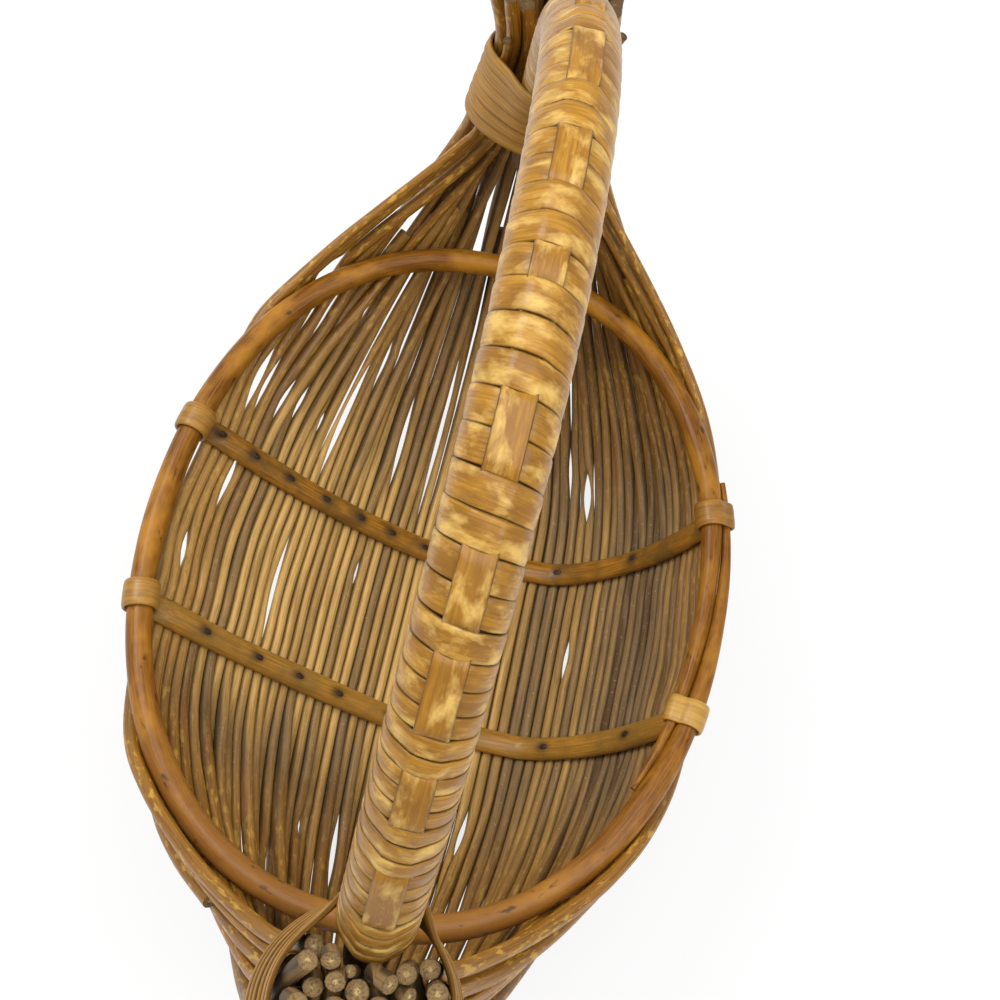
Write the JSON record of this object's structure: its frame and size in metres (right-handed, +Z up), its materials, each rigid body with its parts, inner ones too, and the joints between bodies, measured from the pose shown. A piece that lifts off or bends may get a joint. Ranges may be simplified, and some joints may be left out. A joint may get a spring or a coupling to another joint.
{
  "type": "reed basket",
  "caption": "Boat-shaped gathering basket of parallel willow reeds on cross ribs and an oval rim, bound into an end bundle at each foot of a cane-wound arch handle.",
  "frame": {"origin": "on the floor plane under the middle of the rim, on the flat underside of a floor reed", "axes": "+X along the basket's length towards the near bundle, +Y sideways, +Z up"},
  "size_m": [0.4162, 0.2321, 0.3363],
  "materials": {
    "willow": "round peeled and barked willow rods, satin, tan to red-brown with yellow blotches",
    "rattan": "round pole, honey to orange-brown satin, with small knots",
    "split_cane": "half-round split cane, satin, tacked to the reeds",
    "winding_cane": "flat cane strip, dull tan, worn",
    "handle_cane": "flat cane strip, golden straw, glossy",
    "core_rod": "bent rod, hidden by the winding"
  },
  "bodies": {
    "root": {"handle_core": "core_rod", "handle_leader": "handle_cane", "handle_winding": "handle_cane", "reed_01": "willow", "reed_02": "willow", "reed_03_04": "willow", "reed_05": "willow", "reed_06": "willow", "reed_07": "willow", "reed_08_09": "willow", "reed_10": "willow", "reed_11": "willow", "reed_12": "willow", "reed_13_14": "willow", "reed_15": "willow", "reed_16": "willow", "reed_17": "willow", "reed_18_19": "willow", "reed_20": "willow", "reed_21": "willow", "reed_22": "willow", "reed_23_24": "willow", "reed_25": "willow", "reed_26": "willow", "reed_27": "willow", "reed_28_29": "willow", "reed_30": "willow", "reed_31": "willow", "reed_32": "willow", "reed_33_34": "willow", "reed_35": "willow", "reed_36": "willow", "reed_37": "willow", "reed_38_39": "willow", "reed_40": "willow", "reed_41": "willow", "reed_42": "willow", "reed_43_44": "willow", "reed_45": "willow", "reed_46": "willow", "reed_47": "willow", "reed_48_49": "willow", "reed_50": "willow", "reed_51": "willow", "reed_52": "willow", "reed_53_54": "willow", "reed_55": "willow", "reed_56": "willow", "reed_57": "willow", "reed_58_59": "willow", "reed_60": "willow", "reed_61": "willow", "rib_far": "split_cane", "rib_near": "split_cane", "rim_hoop": "rattan", "winding_far": "winding_cane", "winding_near": "winding_cane"}
  },
  "joints": []
}
